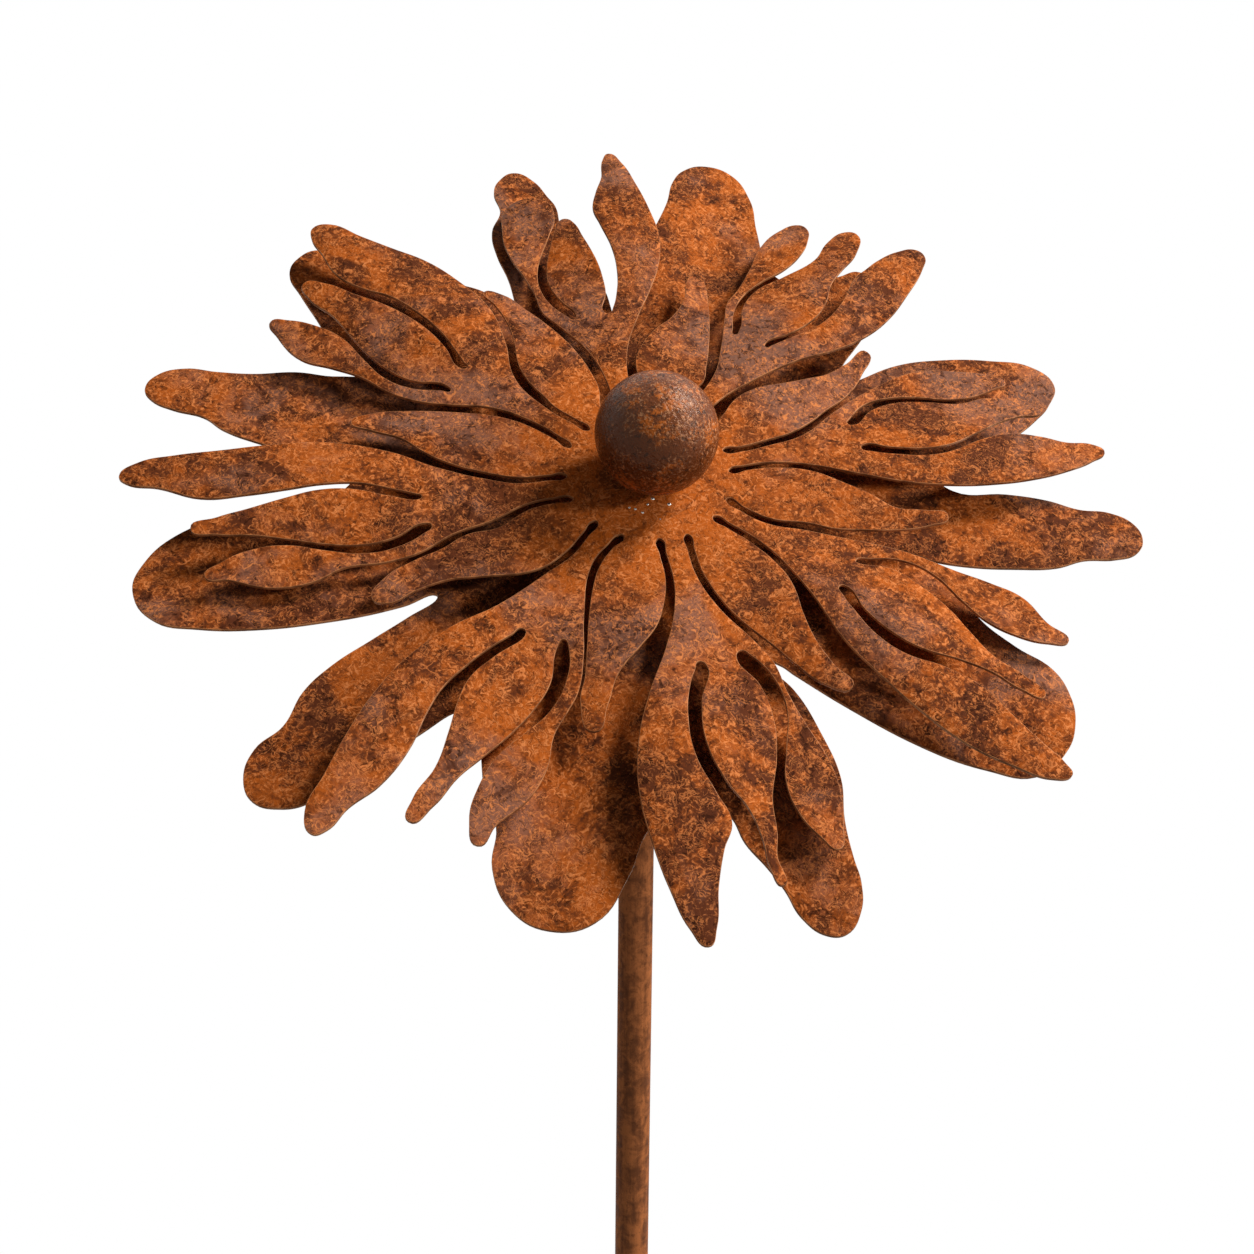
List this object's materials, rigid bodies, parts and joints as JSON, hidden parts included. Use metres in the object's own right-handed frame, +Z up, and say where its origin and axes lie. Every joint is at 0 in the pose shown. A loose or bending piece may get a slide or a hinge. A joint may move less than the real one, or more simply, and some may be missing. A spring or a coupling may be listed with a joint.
{
  "type": "wind spinner",
  "caption": "Rusted steel flower wind spinner: two pitched petal plates turn on a leaning axle, with a ball at the centre, on a pole with a ground fork.",
  "frame": {"origin": "on the pole's axis at the soil line, level with the top of the step bar", "axes": "+Z up along the pole, the flower faces -Y and leans back 45 degrees"},
  "size_m": [0.4239, 0.3046, 1.3659],
  "materials": {
    "rust_sheet": "mottled orange and brown rust",
    "rust_ball": "dark brown rust with a slight gloss",
    "rust_pole": "smooth brown rust",
    "bearing_steel": "bright steel",
    "zinc_steel": "zinc plated"
  },
  "bodies": {
    "stand": {"ground_spike": "rust_pole", "step_bar": "rust_pole", "side_prong_left": "rust_pole", "side_prong_right": "rust_pole", "lower_pole": "rust_pole", "spike_screw": "zinc_steel", "pole_joiner": "rust_pole", "joiner_screw_lower": "zinc_steel", "joiner_screw_upper": "zinc_steel", "upper_pole": "rust_pole", "pole_cap": "rust_pole", "axle": "zinc_steel", "jam_nut": "zinc_steel", "rear_washer": "zinc_steel", "rear_bearing_inner": "bearing_steel", "bearing_spacer": "zinc_steel", "front_bearing_inner": "bearing_steel", "seat_spacer": "zinc_steel", "centre_ball": "rust_ball", "ball_nut": "zinc_steel"},
    "rear_rotor": {"rear_bearing_outer": "bearing_steel", "rear_hub": "rust_sheet", "rear_petal_plate": "rust_sheet"},
    "front_rotor": {"front_bearing_outer": "bearing_steel", "front_hub": "rust_sheet", "front_flower_plate": "rust_sheet"}
  },
  "joints": [
    {"name": "rear_rotor_spin", "type": "hinge", "parent": "stand", "child": "rear_rotor", "pos_m": [0, -0.01435, 1.01435], "axis": [0, -0.7071, 0.7071], "continuous": true},
    {"name": "front_rotor_spin", "type": "hinge", "parent": "stand", "child": "front_rotor", "pos_m": [0, -0.02496, 1.02496], "axis": [0, -0.7071, 0.7071], "continuous": true}
  ]
}
